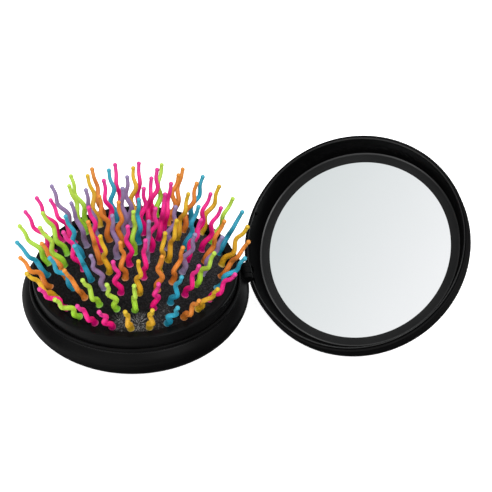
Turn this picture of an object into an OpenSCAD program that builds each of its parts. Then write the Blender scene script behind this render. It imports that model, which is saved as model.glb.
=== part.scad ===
// Folding round hairbrush with a mirror in its lid, lid open and brush pad raised.
// Millimetres. Z up, origin at the centre of the underside, hinge towards +X.

/* [Lower shell] */
// Radius of both round shells at their widest
body_radius = 37.75; // [37:0.25:41]
// Height of the lower shell's widest circle above the table
bowl_depth = 13.4; // [13.2:0.1:14.4]
// How far the bowl draws in between its widest circle and the table
bowl_spread = 30; // [28:0.5:31]
// Height of the shoulder between the widest circle and the rim ring
shoulder_height = 3.7; // [3.5:0.1:4.0]
// How far the shoulder draws in
shoulder_inset = 2.7; // [2.5:0.1:2.9]
// Thickness of the shell walls
wall = 1.4; // [1.2:0.1:1.5]
// Height of the rim ring above the shoulder
rim_height = 1.25; // [0.9:0.05:1.5]

/* [Underside] */
// Radius of the finger opening in the underside
opening_radius = 17; // [15:0.5:17.5]
// Width of the foot ring round the opening
foot_width = 2.1; // [1.6:0.1:2.4]

/* [Brush pad] */
// How far the pad rises out of the lower shell
pad_travel = 9.3; // [8.8:0.1:9.5]
// Height of the pad frame's top above the shell's widest circle when raised
pad_rise = 9; // [8.8:0.1:9.2]
// Width of the flat ring round the cushion
frame_width = 3.1; // [2.8:0.1:3.4]
// Height of the cushion's crown above its edge
cushion_rise = 8.4; // [7.5:0.1:8.8]
// Depth of the cushion's edge below the pad frame's top
cushion_drop = 1.7; // [1.4:0.1:1.9]
// Thickness of the cushion
cushion_wall = 1.2; // [1:0.1:1.3]

/* [Bristles] */
// Rings of bristles round the middle one
bristle_rings = 5; // [4:1:5]
// Distance of the outermost bristles from the cushion's edge
bristle_margin = 2; // [1.6:0.1:3]
// Length of a bristle
bristle_length = 18.65; // [15:0.05:20]
// Lean of the outermost bristles
bristle_lean = 32.3; // [28:0.1:34]
// Radius of a bristle just above its foot
bristle_root = 1.04; // [0.8:0.02:1.2]
// Radius of a bristle under its ball tip
bristle_neck = 0.64; // [0.5:0.01:0.7]
// Radius of the ball tip
bristle_ball = 0.77; // [0.65:0.01:0.9]
// Sideways swing of the waves in a bristle
wave_height = 1.2; // [0.6:0.05:1.3]
// Length of one wave
wave_length = 10.4; // [8:0.1:12]
// Height along a bristle at which its wave crosses the middle
wave_middle = 9.4; // [8:0.1:11]
// Direction of the first bristle of every ring
bristle_start = 249; // [0:1:359]

/* [Lid and mirror] */
// Height of the lid's rim above the mirror glass
lid_rim = 8.1; // [7.8:0.1:8.6]
// Depth of the lid's back behind the mirror glass
lid_back = 3.5; // [3.4:0.1:4]
// Width of the rounding between the lid's side wall and its flat back
lid_rounding = 16; // [14:0.5:18]
// Width of the lid's lining at its foot
lining_width = 2.8; // [2.4:0.1:3.2]
// Width of the flat ring round the mirror glass
bezel_width = 3.1; // [2.6:0.1:3.4]
// Thickness of the mirror glass
mirror_thickness = 1.1; // [0.8:0.1:1.1]

/* [Hinge] */
// How far the lid is turned open
open_angle = 161.7; // [0:0.1:161.7]
// Slant of the hinge pin out of the level
hinge_slant = 14.5; // [14:0.1:15]
// Radius of the hinge knuckles
knuckle_radius = 1.7; // [1.6:0.05:1.8]
// Radius of the hinge pin
pin_radius = 0.7; // [0.6:0.05:0.8]

/* [Hidden] */
$fn = 96;
gap = 0.3;
seat = 0.05;
seam_z = bowl_depth + shoulder_height;
seam_radius = body_radius - shoulder_inset;
rim_top = seam_z + rim_height;
rim_inner = seam_radius - 0.8;
frame_outer = rim_inner - gap;
frame_inner = frame_outer - frame_width;
frame_top = bowl_depth + pad_rise;
frame_bottom = rim_top - 0.2;
plate_top = frame_bottom - seat;
cushion_edge = frame_inner - 0.25;
edge_z = frame_top - cushion_drop;
crown_z = edge_z + cushion_rise;
cushion_curve = (cushion_edge*cushion_edge + cushion_rise*cushion_rise)/(2*cushion_rise);
bristle_pitch = (cushion_edge - bristle_margin)/bristle_rings;
floor_z = wall + 0.6;
inner_radius = body_radius - wall;
sleeve_outer = opening_radius + 1.2;
shell_hole = sleeve_outer + seat;
inner_spread = inner_radius - shell_hole + 3.9;
// the sleeve's flange lies 0.2 over the shell's inner floor
flange_z = bowl_depth - (bowl_depth - floor_z)*sin(acos(1 - (inner_radius - sleeve_outer - 2)/inner_spread)) + 0.2;
foot_inner = shell_hole + 0.6;
foot_outer = foot_inner + foot_width;
pedestal = foot_outer + 0.4;
sleeve_top = 12.2;
hub_bottom = sleeve_top + pad_travel + 0.4;
hub_top = hub_bottom + 1.1;
hub_outer = sleeve_outer + 1.7;
cup_radius = opening_radius - 0.8;
cup_bottom = pad_travel + 0.5;
post_radius = 3.1;
screw_circle = cup_radius - 2.1 - post_radius;
screw_seat_z = cup_bottom + 7;
post_top = screw_seat_z + 2.6;
screw_head = 1.9;
head_height = 1.4;
screw_shank = 0.9;
dish_radius = 3*opening_radius;
lid_mirror_z = seam_z - 0.5 + lid_rim;
liner_outer = inner_radius + 0.45;
liner_inner = inner_radius;
bezel_outer = liner_outer - lining_width;
mirror_radius = bezel_outer - bezel_width;
hinge_x = body_radius - 0.25;
hinge_z = seam_z - 0.65;
knuckle_half = 3;
lid_knuckle_half = 1.1;
base_knuckle = lid_knuckle_half + 0.2;
pin_half = knuckle_half - 0.2;

BRISTLE_COLOURS = [
  "G",
  "PLPBOL",
  "OPYYLPPLOPOY",
  "PYOOLPBYPPLPLLBPBL",
  "GGPBPGLOPPOOPYBYGPGGOBOG",
  "PYYBOYPBOYBGYBOGPPOGLPPGBOYPGP"];

// how far each bristle is turned about its own line: a not at all, 15 degrees more with every letter
BRISTLE_TURNS = [
  "f",
  "lcrvho",
  "ehnosjpuxgaa",
  "bvkaupilviwbsqfhxo",
  "ntnhfqvjggncolknnalgpskh",
  "cfiwfweumdkhrqweiepuuutravkqqi"];

// ---- profiles -------------------------------------------------------------------------
// a quarter ellipse: starts at radius r0 and height z0, draws in by spread and falls by fall,
// from angle 0 to the angle where its radius is r1
function bowl_line(r0, z0, spread, fall, r1, n) =
  let (last = acos(1 - (r0 - r1)/spread))
  [for (i = [0:n]) let (t = last*i/n) [r0 - spread*(1 - cos(t)), z0 - fall*sin(t)]];

// the shoulder: radius drops with the 1.8th power of the height
function shoulder_line(n) =
  [for (i = [n:-1:1]) [body_radius - shoulder_inset*pow(i/n, 1.8), bowl_depth + shoulder_height*i/n]];

function backwards(list) = [for (i = [len(list) - 1:-1:0]) list[i]];

// height of the cushion's outer surface at radius r
function cushion_z(r) = crown_z - cushion_curve + sqrt(cushion_curve*cushion_curve - r*r);
function cushion_under(r) =
  crown_z - cushion_curve + sqrt(pow(cushion_curve - cushion_wall, 2) - r*r);

// ---- hinge placing --------------------------------------------------------------------
// local z runs along the pin, local x outward, local y downward
module at_hinge() translate([hinge_x, 0, hinge_z]) rotate([hinge_slant - 90, 0, 0]) children();

module hinge_bar(radius, from, to) at_hinge() translate([0, 0, from]) cylinder(r = radius, h = to - from);

// turns the closed lid open round the slanted pin
module opened()
  translate([hinge_x, 0, hinge_z])
    rotate(a = open_angle, v = [0, cos(hinge_slant), sin(hinge_slant)])
      translate([-hinge_x, 0, -hinge_z]) children();

// the lid's own heights run from the mirror glass towards its rim
module lid_place() translate([0, 0, lid_mirror_z]) mirror([0, 0, 1]) children();

// ---- lower shell ----------------------------------------------------------------------
module base_shell() color([0.07, 0.07, 0.075]) difference() {
  union() {
    rotate_extrude() polygon(concat(
      [[pedestal, 0.4]],
      backwards(bowl_line(body_radius, bowl_depth, bowl_spread, bowl_depth, pedestal, 16)),
      backwards(shoulder_line(8)),
      [[rim_inner + 0.05, seam_z], [rim_inner + 0.05, seam_z - 1.1]],
      bowl_line(inner_radius, bowl_depth, inner_spread, bowl_depth - floor_z, shell_hole, 16),
      [[shell_hole, 0.4]]));
    for (side = [-1, 1]) at_hinge() translate([0, 0, side > 0 ? base_knuckle : -knuckle_half])
      linear_extrude(knuckle_half - base_knuckle) union() {
        circle(r = knuckle_radius);
        polygon([[-knuckle_radius, 0], [0.2, knuckle_radius - 0.05], [0, 3.3], [-2.5, 3], [-2.2, 1]]);
      }
  }
  hinge_bar(pin_radius + 0.02, -knuckle_half - 1, knuckle_half + 1);
  hinge_bar(knuckle_radius + 0.35, -base_knuckle, base_knuckle);
  rotate_extrude() translate([foot_inner - seat, 0.3]) square([foot_width + 2*seat, 0.95]);
}

module base_rim() color([0.09, 0.09, 0.095]) rotate_extrude() polygon([
  [rim_inner, seam_z + 0.03], [rim_inner, rim_top - 0.1], [rim_inner + 0.1, rim_top],
  [seam_radius - 0.3, rim_top], [seam_radius - 0.1, rim_top - 0.2], [seam_radius - 0.02, seam_z + 0.03]]);

module guide_sleeve() color([0.2, 0.2, 0.21]) rotate_extrude() polygon([
  [opening_radius, cup_bottom - 1], [opening_radius, 0], [sleeve_outer, 0], [sleeve_outer, flange_z], [sleeve_outer + 2, flange_z],
  [sleeve_outer + 2, flange_z + 0.8], [sleeve_outer, flange_z + 1], [sleeve_outer, sleeve_top],
  [opening_radius - 0.55, sleeve_top], [opening_radius - 0.55, sleeve_top - 0.4],
  [opening_radius + 0.25, sleeve_top - 0.4], [opening_radius + 0.25, sleeve_top - 1.2],
  [opening_radius - 0.55, sleeve_top - 1.2], [opening_radius - 0.55, sleeve_top - 1.6],
  [opening_radius + 0.4, sleeve_top - 1.6], [opening_radius + 0.4, cup_bottom - 1]]);

module foot_ring() color([0.03, 0.03, 0.03]) rotate_extrude() polygon([
  [foot_inner, 0.2], [foot_inner + 0.2, 0], [foot_outer - 0.2, 0], [foot_outer, 0.2],
  [foot_outer, 1.2], [foot_inner, 1.2]]);

// rubber ring in the sleeve's groove, it drags on the cup and holds the pad at any height
module friction_ring() color([0.15, 0.05, 0.03])
  rotate_extrude() translate([opening_radius - 0.25, sleeve_top - 0.8]) circle(r = 0.36, $fn = 24);

module hinge_pin() color([0.75, 0.76, 0.78]) hinge_bar(pin_radius, -pin_half, pin_half);

// ---- brush pad ------------------------------------------------------------------------
module screw_places() for (i = [0:2]) rotate(60 + 120*i) translate([screw_circle, 0, 0]) children();

// the cup the finger pushes, with a shallow dish for the fingertip
module press_cup() color([0.12, 0.12, 0.125]) difference() {
  union() {
    rotate_extrude() polygon([
      [0, cup_bottom], [cup_radius + 0.6, cup_bottom], [cup_radius + 0.6, cup_bottom + 0.4],
      [cup_radius, cup_bottom + 0.5], [cup_radius, hub_bottom - seat], [cup_radius - 1.3, hub_bottom - seat],
      [cup_radius - 1.3, cup_bottom + 1.6], [0, cup_bottom + 1.6]]);
    screw_places() translate([0, 0, cup_bottom + 1]) cylinder(r = post_radius, h = post_top - cup_bottom - 1);
  }
  translate([0, 0, cup_bottom - dish_radius + 0.7]) sphere(r = dish_radius);
  screw_places() {
    translate([0, 0, cup_bottom - 1]) cylinder(r = screw_head + 0.2, h = screw_seat_z - cup_bottom + 1);
    cylinder(r = screw_shank + 0.2, h = hub_bottom);
  }
}

module pad_carrier() color([0.16, 0.16, 0.165]) difference() {
  union() {
    rotate_extrude() polygon([
      [0, hub_bottom], [hub_outer - 1.2, hub_bottom], [hub_outer - 1.2, plate_top - 1.1],
      [frame_outer - 1.75, plate_top - 1.1], [frame_outer - 1.55, plate_top - 0.9],
      [frame_outer - 1.55, plate_top], [hub_outer, plate_top], [hub_outer, hub_top], [0, hub_top]]);
    screw_places() translate([0, 0, post_top + seat]) cylinder(r = post_radius - 0.5, h = hub_bottom + 0.2 - post_top - seat);
  }
  screw_places() translate([0, 0, screw_seat_z]) cylinder(r = screw_shank + seat, h = hub_bottom + 0.6 - screw_seat_z);
}

module carrier_screws() color([0.7, 0.71, 0.73]) screw_places() difference() {
  union() {
    translate([0, 0, screw_seat_z - seat - head_height]) cylinder(r = screw_head, h = head_height);
    translate([0, 0, screw_seat_z - 0.1]) cylinder(r = screw_shank, h = hub_bottom + 0.4 - screw_seat_z);
  }
  for (turn = [0, 90]) rotate(turn) translate([0.7 - screw_head, -0.25, screw_seat_z - seat - head_height - 1])
    cube([2*screw_head - 1.4, 0.5, head_height/2 + 1]);
}

// the stiff smooth ring round the cushion, its outer edge rounded more than its inner one
frame_round = 0.9;
module pad_frame() color([0.17, 0.17, 0.175]) rotate_extrude() polygon(concat(
  [[frame_inner, frame_bottom], [frame_outer, frame_bottom]],
  [for (i = [0:4]) let (t = 22.5*i)
    [frame_outer - frame_round*(1 - cos(t)), frame_top - frame_round*(1 - sin(t))]],
  [[frame_inner + 0.15, frame_top], [frame_inner, frame_top - 0.15]]));

// domed cushion shell with a foot flange standing on the carrier plate
module cushion() color([0.13, 0.13, 0.135]) rotate_extrude() polygon(concat(
  [for (i = [0:16]) let (r = cushion_edge*i/16) [r, cushion_z(r)]],
  [[cushion_edge, frame_bottom], [cushion_edge - 1.3, frame_bottom]],
  [for (i = [16:-1:0]) let (r = (cushion_edge - 1.3)*i/16) [r, cushion_under(r)]]));

// ---- bristles -------------------------------------------------------------------------
// bristle radius a distance s along it: flared foot, taper, ball tip
function bristle_radius(s) =
  let (t = s/bristle_length, ball = bristle_ball - (bristle_length - s),
       taper = bristle_root + (bristle_neck - bristle_root)*t + 0.22*max(0, 1 - s/0.9),
       round_end = bristle_ball*bristle_ball - ball*ball)
  s >= bristle_length ? 0.25 : (round_end > 0 ? max(sqrt(round_end), s > bristle_length - bristle_ball ? 0 : taper) : taper);

BRISTLE_STEPS = concat([0, 0.9], [for (i = [1:9]) 0.9 + (bristle_length - 2.6)*i/9],
  [bristle_length - 1.2, bristle_length - 0.75, bristle_length - 0.25, bristle_length]);

// centre of the bristle a distance s along it; its wave lies in a plane through its own line, at the angle turn
function bristle_point(s, turn) =
  let (t = min(1, s/(bristle_length - bristle_ball)),
       swing = wave_height*sin(360*(s - wave_middle)/wave_length)*sin(180*t)*(1 - pow(t, 4)))
  [-swing*sin(turn), swing*cos(turn), s];

// one bristle: six-sided sections along the waved line, standing on the local xy plane
module bristle(turn) {
  sides = 6;
  last = len(BRISTLE_STEPS) - 1;
  spots = [for (s = BRISTLE_STEPS) for (j = [0:sides - 1])
    let (c = bristle_point(s, turn), r = bristle_radius(s), a = 360*j/sides)
    [c[0] + r*cos(a), c[1] + r*sin(a), c[2]]];
  faces = concat(
    [for (j = [1:sides - 2]) [0, j, j + 1]],
    [for (i = [0:last - 1]) for (j = [0:sides - 1]) let (a = i*sides + j, b = i*sides + (j + 1)%sides)
      [a, b + sides, b]],
    [for (i = [0:last - 1]) for (j = [0:sides - 1]) let (a = i*sides + j, b = i*sides + (j + 1)%sides)
      [a, a + sides, b + sides]],
    [for (j = [1:sides - 2]) [last*sides, last*sides + j + 1, last*sides + j]]);
  polyhedron(points = spots, faces = faces);
}

// every bristle of one colour, ring by ring, standing on the cushion
module bristles(letter) for (k = [0:bristle_rings]) let (
    count = max(1, 6*k), r = k*bristle_pitch, lean = bristle_lean*pow(k/5, 1.3))
  for (i = [0:count - 1]) if (BRISTLE_COLOURS[k][i] == letter)
    rotate(bristle_start + 360*i/count) translate([r, 0, cushion_z(r) + 0.08]) rotate([0, lean, 0])
      bristle(15*(ord(BRISTLE_TURNS[k][i]) - 97));

module bristles_pink() color([0.93, 0.1, 0.5]) bristles("P");
module bristles_lime() color([0.6, 0.85, 0.2]) bristles("G");
module bristles_blue() color([0.1, 0.6, 0.75]) bristles("B");
module bristles_orange() color([0.93, 0.5, 0.15]) bristles("O");
module bristles_yellow() color([0.88, 0.7, 0.15]) bristles("Y");
module bristles_lavender() color([0.5, 0.42, 0.62]) bristles("L");

// ---- lid ------------------------------------------------------------------------------
lid_wall_foot = 2;
shell_back = lid_back - 1.2;
inner_round = liner_outer + 0.05 - (body_radius - lid_rounding);
lining_turn = acos(1 - lining_width/inner_round);

module lid_notches() for (side = [-1, 1])
  hinge_bar(3.6, side > 0 ? lid_knuckle_half : -knuckle_half - 0.25, side > 0 ? knuckle_half + 0.25 : -lid_knuckle_half);

module lid_shell() color([0.07, 0.07, 0.075]) opened() difference() {
  union() {
    difference() {
      lid_place() rotate_extrude() polygon(concat(
        [[0, -lid_back]],
        backwards(bowl_line(body_radius, lid_wall_foot, lid_rounding, lid_wall_foot + lid_back,
          body_radius - lid_rounding, 14)),
        [[body_radius, lid_rim - 0.8], [body_radius - 0.3, lid_rim - 0.5],
         [liner_outer + 0.05, lid_rim - 0.5]],
        bowl_line(liner_outer + 0.05, lid_wall_foot, inner_round, lid_wall_foot + shell_back,
          body_radius - lid_rounding, 14),
        [[0, -shell_back]]));
      lid_notches();
    }
    hinge_bar(knuckle_radius, -lid_knuckle_half, lid_knuckle_half);
  }
  hinge_bar(pin_radius + 0.05, -knuckle_half - 1, knuckle_half + 1);
}

// the lining of the lid's side wall, with two snap nubs near its rim
module lid_liner() color([0.1, 0.1, 0.105]) opened() difference() {
  lid_place() union() {
    rotate_extrude() polygon(concat(
      [for (i = [0:10]) [bezel_outer + (liner_inner - bezel_outer)*pow(sin(9*i), 0.9), 0.5 + (lid_rim - 0.5)*i/10]],
      [[liner_outer, lid_rim]],
      [for (i = [0:6]) let (t = lining_turn*i/6)
        [liner_outer - inner_round*(1 - cos(t)), lid_wall_foot - (lid_wall_foot + shell_back)*sin(t) + 0.12]]));
    for (side = [-1, 1]) rotate(33*side) translate([liner_inner - 0.35, 0, lid_rim - 1])
      sphere(r = 0.5, $fn = 24);
  }
  lid_notches();
  hinge_bar(knuckle_radius + 0.2, -lid_knuckle_half - 0.2, lid_knuckle_half + 0.2);
}

// flat ring round the glass with a low bead along its outer edge
module mirror_bezel() color([0.12, 0.12, 0.125]) opened() lid_place() rotate_extrude() polygon([
  [mirror_radius + seat, -0.2], [bezel_outer - 0.4, -0.2], [bezel_outer - seat, 0.1],
  [bezel_outer - seat, 0.6], [bezel_outer - 0.15, 0.75], [bezel_outer - 0.4, 0.75], [bezel_outer - 0.6, 0.5],
  [mirror_radius + 0.15, 0.5], [mirror_radius + seat, 0.4]]);

module mirror_glass() color([0.85, 0.87, 0.88]) opened() lid_place()
  translate([0, 0, -mirror_thickness]) cylinder(r = mirror_radius, h = mirror_thickness);

// foam disc that glues the mirror to the lid's back
module mirror_backing() color([0.3, 0.3, 0.31]) opened() lid_place()
  translate([0, 0, -shell_back + seat]) cylinder(r = body_radius - lid_rounding - 1.7, h = shell_back - mirror_thickness - 2*seat);

base_shell();
base_rim();
guide_sleeve();
foot_ring();
friction_ring();
hinge_pin();
press_cup();
pad_carrier();
carrier_screws();
pad_frame();
cushion();
bristles_pink();
bristles_lime();
bristles_blue();
bristles_orange();
bristles_yellow();
bristles_lavender();
lid_shell();
lid_liner();
mirror_bezel();
mirror_glass();
mirror_backing();
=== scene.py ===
import math

import bmesh
import bpy
import numpy as np
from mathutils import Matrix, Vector


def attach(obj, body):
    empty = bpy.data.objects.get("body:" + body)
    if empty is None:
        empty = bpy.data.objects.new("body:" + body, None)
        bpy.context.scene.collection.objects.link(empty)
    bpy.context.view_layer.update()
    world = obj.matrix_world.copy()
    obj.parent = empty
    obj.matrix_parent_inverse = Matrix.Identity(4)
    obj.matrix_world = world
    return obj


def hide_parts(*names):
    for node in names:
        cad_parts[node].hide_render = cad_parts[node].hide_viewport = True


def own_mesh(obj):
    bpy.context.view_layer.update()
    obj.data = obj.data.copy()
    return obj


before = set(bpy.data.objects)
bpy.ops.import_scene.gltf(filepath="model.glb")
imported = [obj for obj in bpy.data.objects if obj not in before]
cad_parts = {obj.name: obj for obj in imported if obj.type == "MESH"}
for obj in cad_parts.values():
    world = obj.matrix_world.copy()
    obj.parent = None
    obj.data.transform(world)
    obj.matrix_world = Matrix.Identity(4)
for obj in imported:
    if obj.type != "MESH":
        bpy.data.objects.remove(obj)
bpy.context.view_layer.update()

# sizes are in millimetres and heights count from the table; meshes are written in metres
mm = 0.001

# the pin's middle, its slant from level and how far the lid is turned open, in degrees; knuckles by their radius and
# by their half lengths from the pin's middle; play is left beside and round the lid's knuckle
hinge = dict(x=37.5, z=16.45, slant=14.5, opened=161.7, knuckle=1.7, half=3.0, lidHalf=1.1, side=0.2, around=0.35,
             notch=3.6, notchEnd=0.25,
             finish=dict(colour=(0.0030, 0.0030, 0.0031), roughness=0.5, grain=0.04, gloss=0.04))


# unit axis of the hinge pin: (0, cos slant, sin slant)
def pinAxis():
    s = math.radians(hinge["slant"])
    return np.array([0.0, math.cos(s), math.sin(s)])


# turns points about the pin: p cos t + (a x p) sin t + a (a . p)(1 - cos t), measured from a point of the pin
def turnAboutPin(points, degrees):
    a, q, t = pinAxis(), np.array([hinge["x"], 0.0, hinge["z"]]), math.radians(degrees)
    p = points - q
    return q + p * math.cos(t) + np.cross(a, p) * math.sin(t) + np.outer(p @ a, a) * (1 - math.cos(t))


# quarter ellipse: radius r0 - spread (1 - cos t), height z0 - fall sin t, t from 0 until the radius is r1
def bowlLine(r0, z0, spread, fall, r1, count):
    t = np.linspace(0, math.acos(1 - (r0 - r1) / spread), count)
    return np.c_[r0 - spread * (1 - np.cos(t)), z0 - fall * np.sin(t)]


# each corner is replaced by a quadratic curve that starts and ends the given distance before and after it
def rounded(corners, size, count=5, closed=True):
    corners = np.array(corners, float)
    n, out = len(corners), []
    for i, p in enumerate(corners):
        if not closed and i in (0, n - 1):
            out.append(p[None])
            continue
        a, b = corners[i - 1], corners[(i + 1) % n]
        la, lb = np.linalg.norm(a - p), np.linalg.norm(b - p)
        s = min(size, 0.45 * la, 0.45 * lb)
        pa, pb = p + (a - p) * s / la, p + (b - p) * s / lb
        t = np.linspace(0, 1, count)[:, None]
        out.append((1 - t) ** 2 * pa + 2 * t * (1 - t) * p + t ** 2 * pb)
    return np.concatenate(out)


# a mesh with smooth faces, riding on a body; it stands in for the named solids and has one of the record's materials
def newPiece(name, points, faces, body, material, nodes, sharp=35.0):
    mesh = bpy.data.meshes.new(name)
    mesh.from_pydata((np.asarray(points) * mm).tolist(), [], faces)
    mesh.update()
    mesh.shade_smooth()
    mesh.set_sharp_from_angle(angle=math.radians(sharp))
    piece = bpy.data.objects.new(name, mesh)
    bpy.context.scene.collection.objects.link(piece)
    mesh.materials.append(material)
    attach(piece, body)
    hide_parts(*nodes)
    return piece


# quads of a grid of rows by columns, columns closed into a ring, rows too if asked
def gridFaces(rows, cols, closeRows):
    r = np.arange(rows if closeRows else rows - 1)[:, None]
    c = np.arange(cols)[None]
    a, b = r * cols + c, r * cols + (c + 1) % cols
    d, e = (r + 1) % rows * cols + (c + 1) % cols, (r + 1) % rows * cols + c
    return np.stack([a, b, d, e], -1).reshape(-1, 4)


# a profile of (radius, height) turned about Z: x = r cos a, y = r sin a; a radius of 0 becomes one pole point
def lathe(profile, around=256, closed=True):
    profile = np.asarray(profile, float)
    a = np.linspace(0, 2 * math.pi, around, endpoint=False)
    poles = [i for i in (0, len(profile) - 1) if not closed and profile[i, 0] < 1e-6]
    keep = [i for i in range(len(profile)) if i not in poles]
    body = profile[keep]
    points = np.stack([body[:, :1] * np.cos(a), body[:, :1] * np.sin(a), np.repeat(body[:, 1:], around, 1)], -1)
    points = points.reshape(-1, 3)
    faces = gridFaces(len(body), around, closed).tolist()
    for i in poles:
        tip = len(points)
        points = np.vstack([points, [0, 0, profile[i, 1]]])
        row = 0 if i == 0 else len(body) - 1
        for c in range(around):
            p, q = row * around + c, row * around + (c + 1) % around
            faces.append([q, p, tip] if i == 0 else [p, q, tip])
    return points, faces


# faces are turned outward by Blender's own recalculation
def faceOut(piece):
    bm = bmesh.new()
    bm.from_mesh(piece.data)
    bmesh.ops.recalc_face_normals(bm, faces=bm.faces)
    bm.to_mesh(piece.data)
    bm.free()
    return piece


# keeps each point's height as an attribute, in millimetres: start + sign z
def markHeight(piece, start, sign):
    co = np.empty(len(piece.data.vertices) * 3)
    piece.data.vertices.foreach_get("co", co)
    height = piece.data.attributes.new("height", "FLOAT", "POINT")
    height.data.foreach_set("value", (start + sign * co[2::3] / mm).astype(np.float32))


# a closed outline in the plane square to the pin, drawn along the pin from one place to another
def pinBar(outline, start, end):
    outline = np.asarray(outline, float)
    a = pinAxis()
    down = np.array([0.0, a[2], -a[1]])
    n = len(outline)
    ring = np.array([hinge["x"], 0, hinge["z"]]) + outline[:, :1] * np.array([1.0, 0, 0]) + outline[:, 1:] * down
    points = np.vstack([ring + a * start, ring + a * end])
    faces = gridFaces(2, n, False).tolist() + [list(range(n))[::-1], list(range(n, 2 * n))]
    return points, faces


# points of a circle: (r cos t, r sin t)
def circle(radius, count=48):
    t = np.linspace(0, 2 * math.pi, count, endpoint=False)
    return np.c_[radius * np.cos(t), radius * np.sin(t)]


# a shape that is only used to cut others
def cutter(points, faces):
    mesh = bpy.data.meshes.new("cutter")
    mesh.from_pydata((np.asarray(points) * mm).tolist(), [], faces)
    made = bpy.data.objects.new("cutter", mesh)
    bpy.context.scene.collection.objects.link(made)
    return faceOut(made)


# cuts other shapes out of a piece and keeps the result as its mesh
def cutAway(piece, cutters, sharp=35.0):
    for c in cutters:
        m = piece.modifiers.new("cut", "BOOLEAN")
        m.operation, m.object, m.solver = "DIFFERENCE", c, "EXACT"
    bpy.context.view_layer.update()
    made = bpy.data.meshes.new_from_object(piece.evaluated_get(bpy.context.evaluated_depsgraph_get()))
    piece.modifiers.clear()
    piece.data = made
    made.shade_smooth()
    made.set_sharp_from_angle(angle=math.radians(sharp))


# a socket that can be used in sums: each operator adds one Math node
class Value:
    def __init__(self, tree, socket):
        self.tree, self.socket = tree, socket

    # a node of any kind, its settings by name and its inputs by name or number
    def node(self, kind, inputs=None, out=0, **settings):
        made = self.tree.nodes.new("ShaderNode" + kind)
        for name, value in settings.items():
            setattr(made, name, value)
        for name, value in (inputs or {}).items():
            if isinstance(value, Value):
                self.tree.links.new(value.socket, made.inputs[name])
            else:
                made.inputs[name].default_value = value
        return Value(self.tree, made.outputs[out])

    # one Math node of the given operation
    def maths(self, operation, *values):
        return self.node("Math", dict(enumerate(values)), operation=operation)

    def __add__(self, other): return self.maths("ADD", self, other)
    def __radd__(self, other): return self.maths("ADD", other, self)
    def __sub__(self, other): return self.maths("SUBTRACT", self, other)
    def __rsub__(self, other): return self.maths("SUBTRACT", other, self)
    def __mul__(self, other): return self.maths("MULTIPLY", self, other)
    def __rmul__(self, other): return self.maths("MULTIPLY", other, self)
    def __truediv__(self, other): return self.maths("DIVIDE", self, other)
    def __rtruediv__(self, other): return self.maths("DIVIDE", other, self)
    def __pow__(self, other): return self.maths("POWER", self, other)

    # kept between 0 and 1
    def clamped(self):
        return self.node("Clamp", {"Value": self})

    # 0 below low, 1 above high, a straight rise between
    def rise(self, low, high):
        return self.node("MapRange", {"Value": self, "From Min": low, "From Max": high})

    # the same, but a smooth rise
    def smooth(self, low, high):
        return self.node("MapRange", {"Value": self, "From Min": low, "From Max": high},
                         interpolation_type="SMOOTHSTEP")

    # colour a where this is 0, colour b where it is 1
    def between(self, a, b):
        a, b = [c if isinstance(c, Value) else (*c, 1.0) for c in (a, b)]
        return self.node("Mix", {"Factor": self, 6: a, 7: b}, out=2, data_type="RGBA")

    # the three numbers of a vector
    def parts(self):
        outputs = self.node("SeparateXYZ", {0: self}).socket.node.outputs
        return [Value(self.tree, outputs[i]) for i in range(3)]


# a new Principled material; fill(start, place) gives its varying inputs, constants go on its own sockets
def surface(name, fill, **constants):
    made = bpy.data.materials.new(name)
    made.use_nodes = True
    tree = made.node_tree
    shader = next(n for n in tree.nodes if n.type == "BSDF_PRINCIPLED")
    for socket, value in constants.items():
        shader.inputs[socket.replace("_", " ")].default_value = value
    start = Value(tree, None)
    place = start.node("TexCoord", out=3)
    for socket, value in fill(start, place).items():
        tree.links.new(value.socket, shader.inputs[socket])
    return made


# fine grain: a noise at the given size in millimetres
def grainOf(place, size, detail=3.0, rough=0.6):
    return place.node("TexNoise", {"Vector": place, "Scale": 1 / (size * mm), "Detail": detail, "Roughness": rough})


# a bump of the given strength, its distance in millimetres
def bumpOf(height, strength, distance):
    return height.node("Bump", {"Height": height, "Strength": strength, "Distance": distance * mm})


# moulded plastic: colour and roughness drift a little, grain goes into the bump. An edge rubbed shiny starts between
# two heights (above the mirror for the lid's pieces) and has the third number as its strength
def plastic(name, colour, roughness, grain=0.05, size=0.28, drift=0.18, gloss=0.05, edge=None, **constants):
    def fill(start, place):
        slow = grainOf(place, 14, 2.0, 0.5)
        fine = grainOf(place, size, 4.0, 0.65)
        paler = tuple(c * (1 + drift * 3) for c in colour)
        out = {"Base Color": (slow * 0.6 + fine * 0.4).smooth(0.3, 0.75).between(colour, paler),
               "Roughness": roughness + (slow - 0.5) * 0.12 + (fine - 0.5) * 0.10,
               "Normal": bumpOf(fine, grain, 0.05)}
        if edge:
            height = start.node("Attribute", attribute_name="height", out=2)
            out["Coat Weight"] = height.rise(edge[0], edge[1]) * (edge[2] + (slow - 0.5) * 0.2)
        return out
    return surface(name, fill, Specular_IOR_Level=gloss, **constants)


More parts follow.
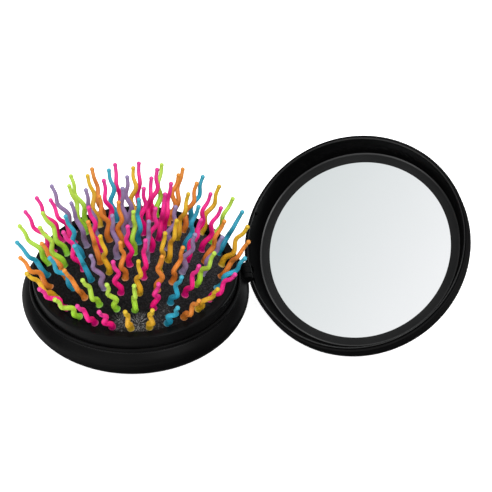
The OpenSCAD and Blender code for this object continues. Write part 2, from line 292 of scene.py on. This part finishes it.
# lower shell: a bowl that is widest at wideZ, a shoulder above it that draws in by the inset, and a groove below for
# the foot ring, given by its two radii and its roof. Its mouth is a step of a depth, and the shoulder runs into the
# mouth's edge by a lead outward and down
shell = dict(radius=37.75, wideZ=13.4, spread=30.0, shoulder=3.7, inset=2.7, edgeRound=0.25,
             wall=1.4, innerSpread=22.0, innerFloor=2.0, footR=21.75, holeR=18.3, low=0.4,
             groove=(18.85, 21.05, 1.25), footRound=0.2, lead=(0.12, 0.2), mouthDepth=1.1,
             finish=dict(colour=(0.0020, 0.0020, 0.0021), roughness=0.36, grain=0.05, gloss=0.056,
                         edge=(16.8, 16.95, 0.2), Coat_Roughness=0.25))
rim = dict(inner=34.25, outer=35.03, low=17.13, top=18.35, bevel=(0.15, 0.35), edgeRound=0.22,
           finish=dict(colour=(0.0030, 0.0030, 0.0031), roughness=0.3, grain=0.03))
seat = 0.05  # play between pieces that lie in each other


# the shoulder: radius - inset s^1.8 and height wideZ + shoulder s, with s from 0 to 1
def shoulderLine(count):
    s = np.linspace(0, 1, count)
    return np.c_[shell["radius"] - shell["inset"] * s ** 1.8, shell["wideZ"] + shell["shoulder"] * s]


# the shell is one profile turned about Z, from the foot up the outside, over the edge and down the inside; the lid's
# knuckle gets its gap by a cut. The rim is a second ring with a bevelled edge
def makeBase(mats):
    s, r, h = shell, rim, hinge
    top, neck = s["wideZ"] + s["shoulder"], s["radius"] - s["inset"]
    outer = bowlLine(s["radius"], s["wideZ"], s["spread"], s["wideZ"], s["footR"], 60)[::-1]
    inner = bowlLine(s["radius"] - s["wall"], s["wideZ"], s["innerSpread"], s["wideZ"] - s["innerFloor"],
                     s["holeR"], 40)
    (grooveIn, grooveOut, roof), (leadOut, leadDown) = s["groove"], s["lead"]
    mouth = r["inner"] + seat
    profile = np.vstack([
        rounded([[s["footR"], s["low"]], outer[0]], s["footRound"], closed=False),
        outer[1:], shoulderLine(26)[1:-1],
        rounded([[neck + leadOut, top - leadDown], [neck, top], [mouth, top], [mouth, top - s["mouthDepth"]]],
                s["edgeRound"], 8, closed=False),
        inner, [[s["holeR"], s["low"]], [grooveIn, s["low"]], [grooveIn, roof], [grooveOut, roof],
                [grooveOut, s["low"]]]])
    points, faces = lathe(profile)
    piece = faceOut(newPiece("baseShell", points, faces, "base", mats["shell"], ["base_shell"]))
    near = h["lidHalf"] + h["side"]
    notch = cutter(*pinBar(circle(h["knuckle"] + h["around"]), -near, near))
    cutAway(piece, [notch])
    bpy.data.objects.remove(notch)
    markHeight(piece, 0, 1)

    # a knuckle is round above and runs into the shell's wall below: corners outward and down from the pin
    k = h["knuckle"]
    web = rounded([[-k, -0.5], [-k * 0.7, -k * 0.72], [0, -k], [k * 0.72, -k * 0.7], [k, 0], [k * 0.72, k * 0.7],
                   [0.1, k + 0.3], [0, 3.3], [-2.5, 3.0], [-2.2, 1.0]], 0.55, 6)
    for name, start, end in (("baseKnuckleLeft", near, h["half"]), ("baseKnuckleRight", -h["half"], -near)):
        points, faces = pinBar(web, start, end)
        faceOut(newPiece(name, points, faces, "base", mats["knuckle"], ["base_shell"]))

    profile = rounded([[r["inner"], r["low"]], [r["inner"], r["top"]], [r["outer"] - r["bevel"][0], r["top"]],
                       [r["outer"], r["top"] - r["bevel"][1]], [r["outer"], r["low"]]], r["edgeRound"], 6)
    points, faces = lathe(profile)
    faceOut(newPiece("baseRim", points, faces, "base", mats["rim"], ["base_rim"]))
    print("base done")


frameRing = dict(inner=30.85, outer=33.95, low=18.15, top=22.4, outerRound=0.9, innerRound=0.25,
                 finish=dict(colour=(0.0036, 0.0036, 0.0037), roughness=0.20, grain=0.04, size=0.35, gloss=0.042))
# the cushion is a cap with a wall and a skirt; welts of a height and a reach stand round the bristles' feet. Its
# rubber's colour carries painted shade, darkest at the front and the left and paler toward the back and the right:
# start and end along x and y, and the share of light left there. Stars are pale woolly marks: x, y, reach and
# strength
cushion = dict(edgeR=30.6, edgeZ=20.7, rise=8.4, wall=1.2, skirt=1.3, low=18.2, welt=(0.22, 1.9), keep=0.43,
               dark=(0.010, 0.010, 0.0105), pale=(0.075, 0.075, 0.080), shadeX=(-26, 8, 0.3), shadeY=(-24, 7, 0.2),
               star=(0.30, 0.30, 0.30), stars=[(-1.6, -27.4, 5.0, 1.0), (-7.0, -25.9, 4.5, 0.75),
                                               (4.7, -26.7, 4.0, 0.35), (7.3, -22.9, 3.5, 0.3)])


# height of the cushion at radius r: the cap of a ball through the edge and the top
def cushionZ(r):
    c = cushion
    ball = (c["edgeR"] ** 2 + c["rise"] ** 2) / (2 * c["rise"])
    return c["edgeZ"] + c["rise"] - ball + np.sqrt(ball ** 2 - r ** 2)


# rubber with a woolly grain and painted shade toward the front and the left; in a star pale streaks run out like the
# hairs of a brush
def fillCushion(start, place):
    c = cushion
    fine = grainOf(place, 0.55, 3.0, 0.7)
    slow = grainOf(place, 9, 2.0, 0.5)
    x, y = place.parts()[:2]
    total = None
    for cx, cy, reach, power in c["stars"]:
        dx, dy = (x - cx * mm) * 1000, (y - cy * mm) * 1000
        away = (dx * dx + dy * dy) ** 0.5
        angle = dy.maths("ARCTAN2", dy, dx)
        rays = start.node("TexNoise", {"W": angle * 6.0 + away * 0.35, "Scale": 1.0, "Detail": 1.0},
                          noise_dimensions="1D").smooth(0.38, 0.66)
        here = rays * (1 - away.smooth(0.1 * reach, reach)) * power
        total = here if total is None else total + here
    speck = fine.smooth(0.44, 0.62)
    base = (speck * 0.8 + slow * 0.4 - 0.1).clamped().between(c["dark"], c["pale"])
    # painted shade: the rubber's colour is scaled down toward the front and the left, paler toward the back and the
    # right
    (frontY, backY, leastY), (leftX, rightX, leastX) = c["shadeY"], c["shadeX"]
    lit = ((leastY + (y * 1000).rise(frontY, backY) * (1 - leastY))
           * (leastX + (x * 1000).rise(leftX, rightX) * (1 - leastX)))
    shadedRubber = base.node("VectorMath", {0: base, "Scale": lit}, operation="SCALE")
    return {"Base Color": (total * (0.15 + speck * 1.05)).clamped().between(shadedRubber, c["star"]),
            "Roughness": 0.55 + fine * 0.2,
            "Normal": bumpOf(fine, 0.35, 0.09)}


# the frame ring's two upper edges are quarter circles; the cushion is its cap, a skirt and the cap again a wall lower
def makePad(mats):
    f = frameRing
    t = np.radians(np.linspace(0, 90, 14))
    outerEdge = np.c_[f["outer"] - f["outerRound"] * (1 - np.cos(t)), f["top"] - f["outerRound"] * (1 - np.sin(t))]
    innerEdge = np.c_[f["inner"] + f["innerRound"] * (1 - np.sin(t)), f["top"] - f["innerRound"] * (1 - np.cos(t))]
    profile = np.vstack([[[f["inner"], f["low"]], [f["outer"], f["low"]]], outerEdge, innerEdge])
    points, faces = lathe(profile)
    faceOut(newPiece("padFrame", points, faces, "pad", mats["frame"], ["pad_frame"], 50))

    # welt: height exp(-(distance / reach)^2) on the upper side, from the nearest foot
    c = cushion
    r = c["edgeR"] * np.sqrt(np.linspace(0, 1, 90)) ** 1.15
    skirtR = c["edgeR"] - c["skirt"]
    under = np.linspace(skirtR, 0, 24)
    profile = np.vstack([np.c_[r, cushionZ(r)], [[c["edgeR"], c["low"]], [skirtR, c["low"]]],
                         np.c_[under, cushionZ(under) - c["wall"]]])
    points, faces = lathe(profile, 300, closed=False)
    xy = points[:, :2]
    feet = np.array([[q * math.cos(t), q * math.sin(t)] for _, _, q, t in bristlePlaces()])
    gap = np.sqrt(((xy[:, None] - feet[None]) ** 2).sum(-1)).min(1)
    up = points[:, 2] > cushionZ(np.hypot(*xy.T)) - 0.01
    points[up, 2] += c["welt"][0] * np.exp(-(gap[up] / c["welt"][1]) ** 2)
    piece = faceOut(newPiece("cushion", points, faces, "pad", mats["cushion"], ["cushion"], 60))
    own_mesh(piece)
    print("pad done")


# rings of bristles, the first one at the start direction, leaning out by lean (ring / last ring)^1.3 degrees. Radii
# are of the root, the neck, the ball and the flared foot. Pressed is the height of the tips under the closed lid, and
# the fold axis of the outer ring is (outward, up)
bristle = dict(rings=5, pitch=5.72, start=249.0, length=18.65, lean=32.3, root=1.04, neck=0.64, ball=0.77, foot=1.3,
               footHeight=0.9, sink=0.45, waveHeight=1.2, waveLength=10.4, waveMiddle=9.4, sides=14, steps=58,
               roughness=0.42, pressed=32.6, foldAxis=(0.9, 0.436),
               unmirrored=range(6, 12))  # outer bristles that glossy surfaces don't show

# colour letter of every bristle, ring by ring, counted from the start direction
ringColours = ["G",
               "PLPBOL",
               "OPYYLPPLOPOY",
               "PYOOLPBYPPLPLLBPBL",
               "GGPBPGLOPPOOPYBYGPGGOBOG",
               "PYYBOYPBOYBGYBOGPPOGLPPGBOYPGP"]
# how far each bristle is turned about its own line, from the ring's direction: a none, 15 degrees more a letter
ringTurns = ["f",
             "lcrvho",
             "ehnosjpuxgaa",
             "bvkaupilviwbsqfhxo",
             "ntnhfqvjggncolknnalgpskh",
             "cfiwfweumdkhrqweiepuuutravkqqi"]
# how far each tip leans along its ring and outward from it: m none, 0.2 mm a letter either way
ringAside = ["o",
             "omjkkm",
             "lonmjklkqkjn",
             "jlmonokjljlllolklj",
             "jnmmklnpmomllllijpmklkki",
             "hillihmoommlnnpnmmmlmmnmoonpkk"]
ringOut = ["o",
           "popkll",
           "nkmnlnijmono",
           "mjjlkllkkklpkkkqon",
           "mlnnkljjkklmqrttnqomnoop",
           "pllpqoomjhgfgimnooopomljkkorso"]

# colours of each dye at the foot's edge, the foot, the middle, the upper part and the ball tip, and where along the
# bristle each blend into the next begins and ends
dyes = {"P": ("pink", (0.541, 0.002, 0.157), (0.796, 0.002, 0.177),
              (0.836, 0.013, 0.220), (0.828, 0.027, 0.269), (0.675, 0.041, 0.268)),
        "L": ("lavender", (0.215, 0.184, 0.314), (0.308, 0.209, 0.373),
              (0.247, 0.158, 0.327), (0.289, 0.195, 0.368), (0.252, 0.199, 0.360)),
        "B": ("blue", (0.012, 0.220, 0.334), (0.012, 0.244, 0.380),
              (0.023, 0.368, 0.548), (0.030, 0.318, 0.453), (0.043, 0.349, 0.468)),
        "O": ("orange", (0.527, 0.161, 0.020), (0.606, 0.169, 0.023),
              (0.731, 0.232, 0.036), (0.741, 0.235, 0.039), (0.673, 0.251, 0.032)),
        "Y": ("yellow", (0.484, 0.316, 0.014), (0.712, 0.376, 0.014),
              (0.665, 0.360, 0.024), (0.744, 0.453, 0.028), (0.600, 0.393, 0.019)),
        "G": ("lime", (0.201, 0.524, 0.030), (0.380, 0.749, 0.041),
              (0.393, 0.639, 0.056), (0.460, 0.718, 0.082), (0.412, 0.611, 0.068))}
dyeBlends = [(0.03, 0.2), (0.2, 0.5), (0.5, 0.78), (0.78, 1.0)]


# a dye's material: its tones from foot to ball, with a little mottling and a painted highlight, a pale line round the
# foot's edge
def fillDye(tones):
    def fill(start, place):
        along = start.node("Attribute", attribute_name="along", out=2)
        fine = grainOf(place, 0.9, 2.0, 0.5)
        spot = along + (fine - 0.5) * 0.2
        tone = tones[0]
        for (low, high), above in zip(dyeBlends, tones[1:]):
            tone = spot.rise(low, high).between(tone, above)
        # painted highlight: a pale line where the flared foot's edge catches the light
        pale = (1 - along.rise(0.010, 0.024)) * 0.22
        return {"Base Color": pale.between(tone, tuple(0.45 + 0.5 * c for c in tones[3])),
                "Roughness": bristle["roughness"] + (fine - 0.5) * 0.12,
                "Normal": bumpOf(fine, 0.10, 0.08)}
    return fill


# ring, number, radius and direction of every bristle
def bristlePlaces():
    out = []
    for k in range(bristle["rings"] + 1):
        count = max(1, 6 * k)
        for i in range(count):
            out.append((k, i, k * bristle["pitch"], math.radians(bristle["start"] + 360 * i / count)))
    return out


# radius of a bristle at s from its foot: root + (neck - root) (s / 0.9 length)^0.8 for the cone, with
# (foot - root) exp(-(s / 0.42 footHeight)^2) for the flare, and a circle for the ball at the end
def bristleRadius(s):
    b = bristle
    taper = b["root"] + (b["neck"] - b["root"]) * np.clip(s / (0.9 * b["length"]), 0, 1) ** 0.8
    taper += (b["foot"] - b["root"]) * np.exp(-(s / (0.42 * b["footHeight"])) ** 2)
    ball = np.sqrt(np.clip(b["ball"] ** 2 - (s - (b["length"] - b["ball"])) ** 2, 0, None))
    return np.where(s > b["length"] - b["ball"], ball, np.maximum(taper, ball))


# one bristle: round sections along a line that waves to one side,
# waveHeight sin(2 pi (s - waveMiddle) / waveLength) sin(pi t) (1 - t^4), with t from 0 at the foot to 1 at the ball
def makeBristle(k, i, radius, azimuth, mats):
    b = bristle
    letter = ringColours[k][i]
    turn, aside, outward = [ord(text[k][i]) for text in (ringTurns, ringAside, ringOut)]
    turn = math.radians(15 * (turn - ord("a")))
    lean = math.radians(b["lean"] * (k / b["rings"]) ** 1.3)
    out = np.array([math.cos(azimuth), math.sin(azimuth), 0])
    ring = np.array([-out[1], out[0], 0])
    up = np.array([0, 0, 1.0])
    line = out * math.sin(lean) + up * math.cos(lean)
    inward = np.cross(line, ring)
    sway = ring * math.cos(turn) + inward * math.sin(turn)
    bend = 0.2 * ((aside - ord("m")) * ring - (outward - ord("m")) * inward)
    s = np.concatenate([np.linspace(-b["sink"], b["footHeight"], 7)[:-1],
                        np.linspace(b["footHeight"], b["length"] - 2 * b["ball"], b["steps"] - 20),
                        b["length"] - b["ball"] - b["ball"] * np.cos(np.linspace(0.35, math.pi, 13))])
    t = np.clip(s / (b["length"] - b["ball"]), 0, 1)
    wave = b["waveHeight"] * np.sin(2 * math.pi * (s - b["waveMiddle"]) / b["waveLength"])
    wave *= np.sin(math.pi * t) * (1 - t ** 4)
    centre = radius * out + up * cushionZ(radius) + s[:, None] * line + wave[:, None] * sway + t[:, None] * bend
    ahead = np.gradient(centre, axis=0)
    ahead /= np.linalg.norm(ahead, axis=1)[:, None]
    side = np.cross(ahead, ring)
    side /= np.linalg.norm(side, axis=1)[:, None]
    third = np.cross(ahead, side)
    size = bristleRadius(np.clip(s, 0, None))
    a = np.linspace(0, 2 * math.pi, b["sides"], endpoint=False)
    rings = centre[:, None] + size[:, None, None] * (side[:, None] * np.cos(a)[None, :, None]
                                                     + third[:, None] * np.sin(a)[None, :, None])
    points = np.vstack([rings[:-1].reshape(-1, 3), centre[-1:], centre[:1]])
    rows, n = len(s) - 1, b["sides"]
    faces = gridFaces(rows, n, False).tolist()
    tip, foot = rows * n, rows * n + 1
    faces += [[(rows - 1) * n + j, (rows - 1) * n + (j + 1) % n, tip] for j in range(n)]
    faces += [[(j + 1) % n, j, foot] for j in range(n)]
    word = dyes[letter][0]
    piece = newPiece("bristle_%d_%02d" % (k, i), points, faces, "pad", mats[letter],
                     ["bristles_" + word], 80)
    piece.visible_glossy = not (k == b["rings"] and i in b["unmirrored"])
    along = piece.data.attributes.new("along", "FLOAT", "POINT")
    along.data.foreach_set("value", np.concatenate([np.repeat(t[:-1], n), [1, 0]]).astype(np.float32))
    faceOut(piece)
    # each bristle gets its own mesh; the foot's place, and for the inner rings the share kept and the anchor under
    # the closed lid, are worked out
    foot = cushionZ(radius)
    if k == b["rings"]:
        tuple((radius * out + foot * up) * mm)
        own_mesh(piece)
    else:
        c = cushion
        lowFoot = c["edgeZ"] + c["keep"] * (foot - c["edgeZ"])
        keep = (b["pressed"] - lowFoot) / (b["length"] * math.cos(lean) + b["ball"])
        anchor = (lowFoot - keep * foot) / (1 - keep)
        anchor * mm
        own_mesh(piece)


# the lid is drawn closed and its heights run down from the mirror's plane. The back is a bowl with a rounding and a
# thickness, the lip is the step along its edge, and nubs are two small catches, by direction, radius, inset and depth
lid = dict(mirrorZ=24.7, rim=8.1, back=3.5, thick=1.2, rounding=16.0, wallFoot=2.0, lip=(0.42, 0.5, 0.62),
           lipFoot=1.6, lipRound=0.3, linerEdge=1.0, linerGap=0.12,
           linerOut=36.8, linerIn=36.35, nubs=dict(turns=(-33, 33), radius=0.5, inset=0.35, depth=1),
           finish=dict(colour=(0.0030, 0.0030, 0.0031), roughness=0.34, grain=0.04),
           linerFinish=dict(colour=(0.0012, 0.0012, 0.0013), roughness=0.36, grain=0.05, gloss=0.03,
                            edge=(7.72, 7.9, 0.65), Coat_Roughness=0.22))
# ring round the glass: a flat top with a bead along its outer edge, so wide at its top and at its foot, and a slanted
# corner below, by how far in and up it goes
bezel = dict(outer=34.0, inner=30.9, low=-0.2, flat=0.5, bead=0.74, beadWide=(0.15, 0.56), slant=(0.4, 0.1),
             edgeRound=0.10,
             finish=dict(colour=(0.0110, 0.0113, 0.0115), roughness=0.42, grain=0.04, edge=(0.50, 0.56, 0.63),
                         Coat_Roughness=0.2))
# the glass has its own tint, and painted reflection brightens it from one tone to the other across the disc, toward
# the right and the front: from a place, by a share per millimetre along x and along y
mirror = dict(thick=1.1, bevel=0.12, tintAndReflection=((0.667, 0.710, 0.714), (0.871, 0.887, 0.901)),
              place=(54.8, 19.8), run=(0.0129, -0.0123))


# silvered glass: its own tint brightened across the disc by painted reflection, faint haze in the roughness
def fillMirror(start, place):
    x, y = place.parts()[:2]
    (fromX, fromY), (runX, runY) = mirror["place"], mirror["run"]
    # painted reflection: the colour brightens toward the right and the front of the disc
    reflectionShare = ((x * 1000 - fromX) * runX + (y * 1000 - fromY) * runY).rise(0.0, 1.0)
    haze = grainOf(place, 12, 2.0, 0.5)
    return {"Base Color": (reflectionShare + (haze - 0.5) * 0.06).clamped().between(*mirror["tintAndReflection"]),
            "Roughness": 0.05 + haze * 0.04}


# a profile given from the mirror's plane up, turned about Z and hung into the closed lid
def hangDown(name, profile, mat, nodes, closed=True):
    points, faces = lathe(profile, closed=closed)
    points[:, 2] = lid["mirrorZ"] - points[:, 2]
    return faceOut(newPiece(name, points, faces, "lid", mat, nodes))


# shell, liner, bezel and glass are profiles turned about Z; the base's knuckles get their room by cuts
def makeLid(mats):
    d, b, g, h = lid, bezel, mirror, hinge
    radius, core = shell["radius"], shell["radius"] - d["rounding"]
    hollow = d["linerOut"] + seat
    hollowSpread, hollowFall = hollow - core, d["wallFoot"] + d["back"] - d["thick"]
    back = bowlLine(radius, d["wallFoot"], d["rounding"], d["wallFoot"] + d["back"], core, 40)[::-1]
    inside = bowlLine(hollow, d["wallFoot"], hollowSpread, hollowFall, core, 30)
    stepIn, stepTop, stepLow = d["lip"]
    foot, step = d["rim"] - d["lipFoot"], d["rim"] - stepTop
    lip = rounded([[radius, foot], [radius, d["rim"] - stepLow], [radius - stepIn, step], [hollow, step],
                   [hollow, foot]], d["lipRound"], 6, closed=False)
    profile = np.vstack([[[0, -d["back"]], [7, -d["back"]], [14, -d["back"]]], back, lip, inside,
                         [[0, d["thick"] - d["back"]]]])
    piece = hangDown("lidShell", profile, mats["lid"], ["lid_shell"], closed=False)
    notches = [cutter(*pinBar(circle(h["notch"], 64), start, end)) for start, end in
               ((h["lidHalf"], h["half"] + h["notchEnd"]), (-h["half"] - h["notchEnd"], -h["lidHalf"]))]
    cutAway(piece, notches)

    # liner: its wall leans out as sin^0.9 of a quarter turn, its edge is a half circle, its underside follows the lid
    t = np.linspace(0, 1, 22)
    wallLine = np.c_[b["outer"] + (d["linerIn"] - b["outer"]) * np.sin(t * math.pi / 2) ** 0.9,
                     b["flat"] + (d["rim"] - b["flat"]) * t]
    t = np.radians(np.linspace(180, 0, 15))
    half = (d["linerOut"] - d["linerIn"]) / 2
    edge = np.c_[d["linerIn"] + half + half * np.cos(t), d["rim"] - half + half * np.sin(t)]
    q = np.linspace(0, math.acos(1 - (d["linerOut"] - b["outer"]) / hollowSpread), 10)
    under = np.c_[d["linerOut"] - hollowSpread * (1 - np.cos(q)),
                  d["wallFoot"] - hollowFall * np.sin(q) + d["linerGap"]]
    profile = np.vstack([wallLine[:-1], edge, [[d["linerOut"], d["rim"] - d["linerEdge"]]], under])
    liner = hangDown("lidLiner", profile, mats["liner"], ["lid_liner"])
    cutAway(liner, notches)
    for c in notches:
        bpy.data.objects.remove(c)

    out, within = b["outer"] - seat, b["inner"] + seat
    (slantIn, slantUp), (beadTop, beadFoot) = b["slant"], b["beadWide"]
    profile = rounded([[within, b["low"]], [b["outer"] - slantIn, b["low"]], [out, slantUp], [out, b["bead"]],
                       [b["outer"] - beadTop, b["bead"]], [b["outer"] - beadFoot, b["flat"]],
                       [within, b["flat"]]], b["edgeRound"], 7)
    ring = hangDown("mirrorBezel", profile, mats["bezel"], ["mirror_bezel"])

    profile = [[0, 0], [15, 0], [b["inner"] - g["bevel"], 0], [b["inner"], -g["bevel"]], [b["inner"], -g["thick"]],
               [0, -g["thick"]]]
    glass = hangDown("mirrorGlass", profile, mats["mirror"], ["mirror_glass"], closed=False)

    points, faces = pinBar(circle(h["knuckle"], 64), -h["lidHalf"], h["lidHalf"])
    knuckle = faceOut(newPiece("lidKnuckle", points, faces, "lid", mats["knuckle"], ["lid_shell"]))

    nubs, n = [], d["nubs"]
    for name, turn in zip(("lidNubFront", "lidNubBack"), n["turns"]):
        t = np.linspace(0, math.pi, 12)
        points, faces = lathe(n["radius"] * np.c_[np.sin(t), -np.cos(t)], 24, closed=False)
        a, r = math.radians(turn), d["linerIn"] - n["inset"]
        points = points + [r * math.cos(a), r * math.sin(a), d["mirrorZ"] - d["rim"] + n["depth"]]
        nubs.append(faceOut(newPiece(name, points, faces, "lid", mats["liner"], ["lid_liner"])))

    # everything was drawn closed; it is turned open here
    for part in [piece, liner, ring, glass, knuckle] + nubs:
        markHeight(part, d["mirrorZ"], -1)
        co = np.empty(len(part.data.vertices) * 3)
        part.data.vertices.foreach_get("co", co)
        co = turnAboutPin(co.reshape(-1, 3) / mm, h["opened"]) * mm
        part.data.vertices.foreach_set("co", co.ravel())
        part.data.update()
    print("lid done")


# solids shown as they are, each with its finish
hiddenFinishes = dict(inner=("innerGrey", dict(colour=(0.012, 0.012, 0.013), roughness=0.5, grain=0.08)),
                      rubber=("footRubber", dict(colour=(0.006, 0.006, 0.006), roughness=0.75, grain=0.2, size=0.4)),
                      steel=("pinSteel", dict(colour=(0.45, 0.45, 0.46), roughness=0.3, size=0.2, drift=0.05,
                                              Metallic=1.0)),
                      foam=("mirrorFoam", dict(colour=(0.03, 0.03, 0.03), roughness=0.9, grain=0.4, size=0.5)))
hiddenNodes = dict(guide_sleeve="inner", foot_ring="rubber", friction_ring="rubber", hinge_pin="steel",
                   press_cup="inner", pad_carrier="inner", carrier_screws="steel", mirror_backing="foam")


# gives each of those solids its finish in place of its own materials
def dressCad(mats):
    for node, finish in hiddenNodes.items():
        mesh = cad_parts[node].data
        mesh.materials.clear()
        mesh.materials.append(mats[finish])


# every finish under the short name by which the pieces ask for it
def makeMaterials():
    made = {}
    for key, name, finish in (("shell", "shellBlack", shell["finish"]), ("knuckle", "knuckleBlack", hinge["finish"]),
                              ("rim", "rimBlack", rim["finish"]), ("frame", "frameBlack", frameRing["finish"]),
                              ("lid", "lidBlack", lid["finish"]), ("liner", "linerBlack", lid["linerFinish"]),
                              ("bezel", "bezelBlack", bezel["finish"])):
        made[key] = plastic(name, **finish)
    for key, (name, finish) in hiddenFinishes.items():
        made[key] = plastic(name, **finish)
    made["cushion"] = surface("cushionRubber", fillCushion, Specular_IOR_Level=0.06)
    made["mirror"] = surface("mirrorGlass", fillMirror, Metallic=1.0)
    for letter, (word, *tones) in dyes.items():
        made[letter] = surface("bristle" + word.capitalize(), fillDye(tones), Specular_IOR_Level=0.35)
    return made


# a pale floor that glows for the camera, in metres. Other rays see painted shadow on it under the part and to its
# right and painted light in front and to the left: clear and full are radii, mirrored is how pale at least and at
# most. The painted light grows toward the left and the front by two shares, and a little at the front right, between
# the places along x and y
floorLook = dict(reach=3, z=-0.0002, glow=0.80, pale=(0.86, 0.90), mirrored=(0.05, 1.05), clear=0.032, full=0.060,
                 toward=(0.8, 0.45), sideReach=0.06, right=(0.085, 0.16), front=(-0.04, 0.02), rightShare=0.12)


# one square under the part; the camera's rays get the glow, all others its painted shadow and painted light
def makeStage():
    f = floorLook
    r = f["reach"]
    mesh = bpy.data.meshes.new("floor")
    mesh.from_pydata([(-r, -r, f["z"]), (r, -r, f["z"]), (r, r, f["z"]), (-r, r, f["z"])], [], [(0, 1, 2, 3)])
    floor = bpy.data.objects.new("floor", mesh)
    bpy.context.scene.collection.objects.link(floor)
    pale = bpy.data.materials.new("floorPale")
    pale.use_nodes = True
    tree = pale.node_tree
    shader = next(n for n in tree.nodes if n.type == "BSDF_PRINCIPLED")
    shader.inputs["Roughness"].default_value = 0.9
    shader.inputs["Specular IOR Level"].default_value = 0.0
    start = Value(tree, None)
    place = start.node("TexCoord", out=3)
    low, high = f["pale"]
    cloud = grainOf(place, 300, 2.0).between((low, low, low), (high, high, high))
    tree.links.new(cloud.socket, shader.inputs["Base Color"])
    ray = start.node("LightPath")
    glow = start.node("Emission", {"Color": (1, 1, 1, 1), "Strength": f["glow"]})
    both = start.node("AddShader", {0: Value(tree, shader.outputs[0]), 1: glow})
    x, y = place.parts()[:2]
    # painted shadow under the part and painted light toward the front and the left, in the colour that other rays see
    out = ((x ** 2 + y ** 2) ** 0.5).smooth(f["clear"], f["full"])
    left, front = f["toward"]
    side = ((x * -left - y * front).smooth(0.0, f["sideReach"])
            + x.smooth(*f["right"]) * (1 - y.smooth(*f["front"])) * f["rightShare"])
    low, high = f["mirrored"]
    dark = start.node("BsdfDiffuse", {"Color": (out * side).clamped().between((low, low, low), (high, high, high))})
    mixed = start.node("MixShader", {0: ray, 1: dark, 2: both})
    tree.links.new(mixed.socket, next(n for n in tree.nodes if n.type == "OUTPUT_MATERIAL").inputs[0])
    mesh.materials.append(pale)


# place, what it looks at, width and height in metres, watts
lights = dict(top=((0.32, 0.30, 0.95), (0.03, 0, 0.02), 0.75, 0.6, 1.5))
# light from the room: low at the horizon, high overhead, rising between two heights; patches are direction, reach
# and added strength. The first room lights the part, the second is what its glossy surfaces mirror
litRoom = dict(low=0.12, high=1.0, rise=(0.0, 0.85), least=0.02,
               patches=[(-0.16, -0.74, 0.65, 0.74, 2.4), (-0.84, -0.50, 0.12, 0.50, 1.5),
                        (0.37, -0.58, 0.72, 0.42, 6.0)])
mirroredRoom = dict(low=0.12, high=1.0, rise=(0.20, 0.85), least=0.02,
                    patches=[(-0.84, -0.52, 0.14, 0.50, 2.6), (-0.45, -0.72, 0.45, 0.70, 1.5),
                             (0.37, -0.58, 0.72, 0.34, 5.8), (0.80, 0.25, 0.25, 0.85, -0.5)])


# power of a room: low + (high - low) rise + the sum of more (1 - smooth(distance / reach)), at least its least
def makeLights():
    for name, (at, target, wide, high, power) in lights.items():
        data = bpy.data.lights.new(name, "AREA")
        data.shape, data.size, data.size_y, data.energy = "RECTANGLE", wide, high, power
        made = bpy.data.objects.new(name, data)
        made.location = at
        made.rotation_mode = "QUATERNION"
        made.rotation_quaternion = (Vector(target) - Vector(at)).to_track_quat("-Z", "Y")
        bpy.context.scene.collection.objects.link(made)

    world = bpy.data.worlds.new("room")
    bpy.context.scene.world = world
    world.use_nodes = True
    tree = world.node_tree
    shown = next(n for n in tree.nodes if n.type == "BACKGROUND")
    shown.inputs["Color"].default_value = (1, 1, 1, 1)
    start = Value(tree, None)
    cameraRay = start.node("LightPath")
    glossyRay = Value(tree, cameraRay.socket.node.outputs["Is Glossy Ray"])
    x, y, z = start.node("TexCoord", out=0).parts()
    powers = []
    for room in (litRoom, mirroredRoom):
        power = room["low"] + z.smooth(*room["rise"]) * (room["high"] - room["low"])
        for dx, dy, dz, wide, more in room["patches"]:
            away = ((x - dx) ** 2 + (y - dy) ** 2 + (z - dz) ** 2) ** 0.5
            power = power + (1 - away.smooth(0.0, wide)) * more
        powers.append(power.maths("MAXIMUM", power, room["least"]))
    power = powers[0] + (powers[1] - powers[0]) * glossyRay
    dim = start.node("Background", {"Color": (1, 1, 1, 1), "Strength": power})
    mixed = start.node("MixShader", {0: cameraRay, 1: dim, 2: Value(tree, shown.outputs[0])})
    tree.links.new(mixed.socket, next(n for n in tree.nodes if n.type == "OUTPUT_WORLD").inputs[0])


# place in millimetres, degrees down from level and to the right, focal length in pixels of a render so wide
camera = dict(at=(-48.29, -572.04, 509.82), elevation=39.807, turn=8.489, focal=2278.7, renderWidth=492, sensor=36)


# direction the camera looks: turned by its turn about Z, down by its elevation
def lookAlong():
    e, a = math.radians(camera["elevation"]), math.radians(camera["turn"])
    return Vector((math.sin(a) * math.cos(e), math.cos(a) * math.cos(e), -math.sin(e)))


# lens in millimetres: focal length / render width x sensor width
def makeCamera():
    c = camera
    data = bpy.data.cameras.new("camera")
    data.lens, data.sensor_width = c["focal"] / c["renderWidth"] * c["sensor"], c["sensor"]
    data.clip_start, data.clip_end = 0.05, 10
    made = bpy.data.objects.new("camera", data)
    made.location = Vector(c["at"]) * mm
    made.rotation_mode = "QUATERNION"
    made.rotation_quaternion = lookAlong().to_track_quat("-Z", "Y")
    bpy.context.scene.collection.objects.link(made)
    bpy.context.scene.camera = made


materials = makeMaterials()
makeBase(materials)
makePad(materials)
for k, i, radius, azimuth in bristlePlaces():
    makeBristle(k, i, radius, azimuth, materials)
print("bristles done")
makeLid(materials)
dressCad(materials)
makeStage()
makeLights()
makeCamera()
bpy.context.scene.view_settings.view_transform = "Standard"
print("stage, lights and camera done")
